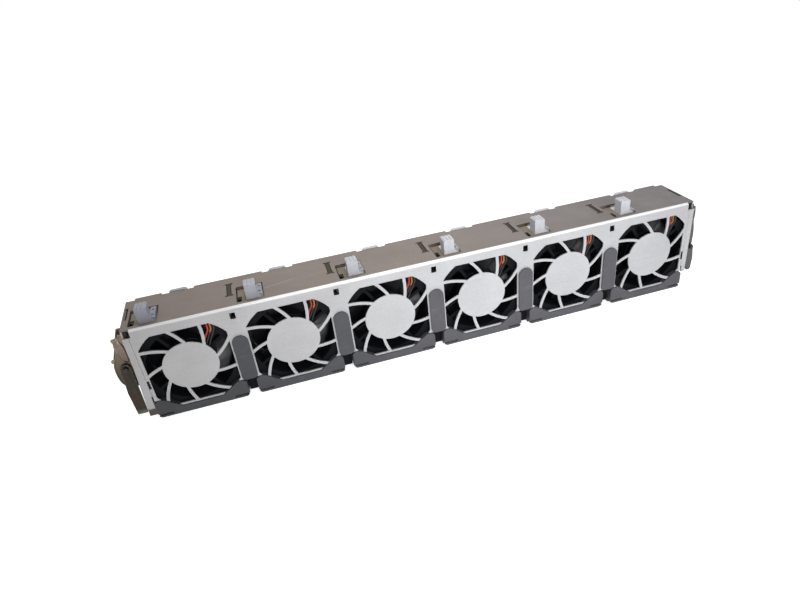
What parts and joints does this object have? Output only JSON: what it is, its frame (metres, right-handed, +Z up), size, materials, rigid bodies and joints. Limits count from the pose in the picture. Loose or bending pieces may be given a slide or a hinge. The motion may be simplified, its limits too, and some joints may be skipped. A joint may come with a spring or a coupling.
{
  "type": "server fan bracket",
  "caption": "Long bent-sheet bracket holding a row of slide-out cooling fans behind stamped finger guards, with thumb latches, connector towers and side guide pins.",
  "frame": {"origin": "middle of the footprint, on the surface that the bracket stands on", "axes": "+X along the row of fans to the viewer's right, +Y from the finger guards to the open rear, +Z up"},
  "size_m": [0.446, 0.0454, 0.083],
  "materials": {
    "zinc_sheet": "satin zinc plate",
    "spring_steel": "satin",
    "dark_steel": "satin",
    "brass": "satin",
    "slate_plastic": "matte",
    "light_plastic": "matte",
    "black_plastic": "satin",
    "motor_steel": "satin",
    "lead_insulation": "satin"
  },
  "bodies": {
    "bracket": {"front_panel": "zinc_sheet", "top_panel": "zinc_sheet", "left_end_plate": "zinc_sheet", "right_end_plate": "zinc_sheet", "left_wing": "spring_steel", "right_wing": "spring_steel", "lever_pivots": "dark_steel", "guide_pins": "brass", "rivets": "dark_steel", "end_rails": "slate_plastic", "divider_1": "slate_plastic", "divider_2": "slate_plastic", "divider_3": "slate_plastic", "divider_4": "slate_plastic", "divider_5": "slate_plastic", "connector_1": "light_plastic", "connector_2": "light_plastic", "connector_3": "light_plastic", "connector_4": "light_plastic", "connector_5": "light_plastic", "connector_6": "light_plastic"},
    "left_lever": {"left_lever": "spring_steel"},
    "right_lever": {"right_lever": "spring_steel"},
    "fan_1": {"carrier_1": "slate_plastic", "housing_1": "black_plastic", "motor_1": "motor_steel", "leads_1": "lead_insulation"},
    "rotor_1": {"impeller_1": "black_plastic"},
    "thumb_1": {"latch_1": "light_plastic"},
    "fan_2": {"carrier_2": "slate_plastic", "housing_2": "black_plastic", "motor_2": "motor_steel", "leads_2": "lead_insulation"},
    "rotor_2": {"impeller_2": "black_plastic"},
    "thumb_2": {"latch_2": "light_plastic"},
    "fan_3": {"carrier_3": "slate_plastic", "housing_3": "black_plastic", "motor_3": "motor_steel", "leads_3": "lead_insulation"},
    "rotor_3": {"impeller_3": "black_plastic"},
    "thumb_3": {"latch_3": "light_plastic"},
    "fan_4": {"carrier_4": "slate_plastic", "housing_4": "black_plastic", "motor_4": "motor_steel", "leads_4": "lead_insulation"},
    "rotor_4": {"impeller_4": "black_plastic"},
    "thumb_4": {"latch_4": "light_plastic"},
    "fan_5": {"carrier_5": "slate_plastic", "housing_5": "black_plastic", "motor_5": "motor_steel", "leads_5": "lead_insulation"},
    "rotor_5": {"impeller_5": "black_plastic"},
    "thumb_5": {"latch_5": "light_plastic"},
    "fan_6": {"carrier_6": "slate_plastic", "housing_6": "black_plastic", "motor_6": "motor_steel", "leads_6": "lead_insulation"},
    "rotor_6": {"impeller_6": "black_plastic"},
    "thumb_6": {"latch_6": "light_plastic"}
  },
  "joints": [
    {"name": "fan_1_slide", "type": "slide", "parent": "bracket", "child": "fan_1", "axis": [0, 1, 0], "range_m": [0, 0.05]},
    {"name": "rotor_1_spin", "type": "hinge", "parent": "fan_1", "child": "rotor_1", "pos_m": [-0.175, 0, 0.0365], "axis": [0, 1, 0], "continuous": true},
    {"name": "thumb_1_press", "type": "hinge", "parent": "fan_1", "child": "thumb_1", "pos_m": [-0.175, 0.0082, 0.0696], "axis": [-1, 0, 0], "range_deg": [0, 6], "stiffness_Nm_per_rad": 0.4},
    {"name": "fan_2_slide", "type": "slide", "parent": "bracket", "child": "fan_2", "axis": [0, 1, 0], "range_m": [0, 0.05]},
    {"name": "rotor_2_spin", "type": "hinge", "parent": "fan_2", "child": "rotor_2", "pos_m": [-0.105, 0, 0.0365], "axis": [0, 1, 0], "continuous": true},
    {"name": "thumb_2_press", "type": "hinge", "parent": "fan_2", "child": "thumb_2", "pos_m": [-0.105, 0.0082, 0.0696], "axis": [-1, 0, 0], "range_deg": [0, 6], "stiffness_Nm_per_rad": 0.4},
    {"name": "fan_3_slide", "type": "slide", "parent": "bracket", "child": "fan_3", "axis": [0, 1, 0], "range_m": [0, 0.05]},
    {"name": "rotor_3_spin", "type": "hinge", "parent": "fan_3", "child": "rotor_3", "pos_m": [-0.035, 0, 0.0365], "axis": [0, 1, 0], "continuous": true},
    {"name": "thumb_3_press", "type": "hinge", "parent": "fan_3", "child": "thumb_3", "pos_m": [-0.035, 0.0082, 0.0696], "axis": [-1, 0, 0], "range_deg": [0, 6], "stiffness_Nm_per_rad": 0.4},
    {"name": "fan_4_slide", "type": "slide", "parent": "bracket", "child": "fan_4", "axis": [0, 1, 0], "range_m": [0, 0.05]},
    {"name": "rotor_4_spin", "type": "hinge", "parent": "fan_4", "child": "rotor_4", "pos_m": [0.035, 0, 0.0365], "axis": [0, 1, 0], "continuous": true},
    {"name": "thumb_4_press", "type": "hinge", "parent": "fan_4", "child": "thumb_4", "pos_m": [0.035, 0.0082, 0.0696], "axis": [-1, 0, 0], "range_deg": [0, 6], "stiffness_Nm_per_rad": 0.4},
    {"name": "fan_5_slide", "type": "slide", "parent": "bracket", "child": "fan_5", "axis": [0, 1, 0], "range_m": [0, 0.05]},
    {"name": "rotor_5_spin", "type": "hinge", "parent": "fan_5", "child": "rotor_5", "pos_m": [0.105, 0, 0.0365], "axis": [0, 1, 0], "continuous": true},
    {"name": "thumb_5_press", "type": "hinge", "parent": "fan_5", "child": "thumb_5", "pos_m": [0.105, 0.0082, 0.0696], "axis": [-1, 0, 0], "range_deg": [0, 6], "stiffness_Nm_per_rad": 0.4},
    {"name": "fan_6_slide", "type": "slide", "parent": "bracket", "child": "fan_6", "axis": [0, 1, 0], "range_m": [0, 0.05]},
    {"name": "rotor_6_spin", "type": "hinge", "parent": "fan_6", "child": "rotor_6", "pos_m": [0.175, 0, 0.0365], "axis": [0, 1, 0], "continuous": true},
    {"name": "thumb_6_press", "type": "hinge", "parent": "fan_6", "child": "thumb_6", "pos_m": [0.175, 0.0082, 0.0696], "axis": [-1, 0, 0], "range_deg": [0, 6], "stiffness_Nm_per_rad": 0.4},
    {"name": "left_lever_swing", "type": "hinge", "parent": "bracket", "child": "left_lever", "pos_m": [-0.215, -0.02, 0.0445], "axis": [0, 1, 0], "range_deg": [0, 25]},
    {"name": "right_lever_swing", "type": "hinge", "parent": "bracket", "child": "right_lever", "pos_m": [0.213, -0.02, 0.034], "axis": [0, -1, 0], "range_deg": [0, 25]}
  ]
}
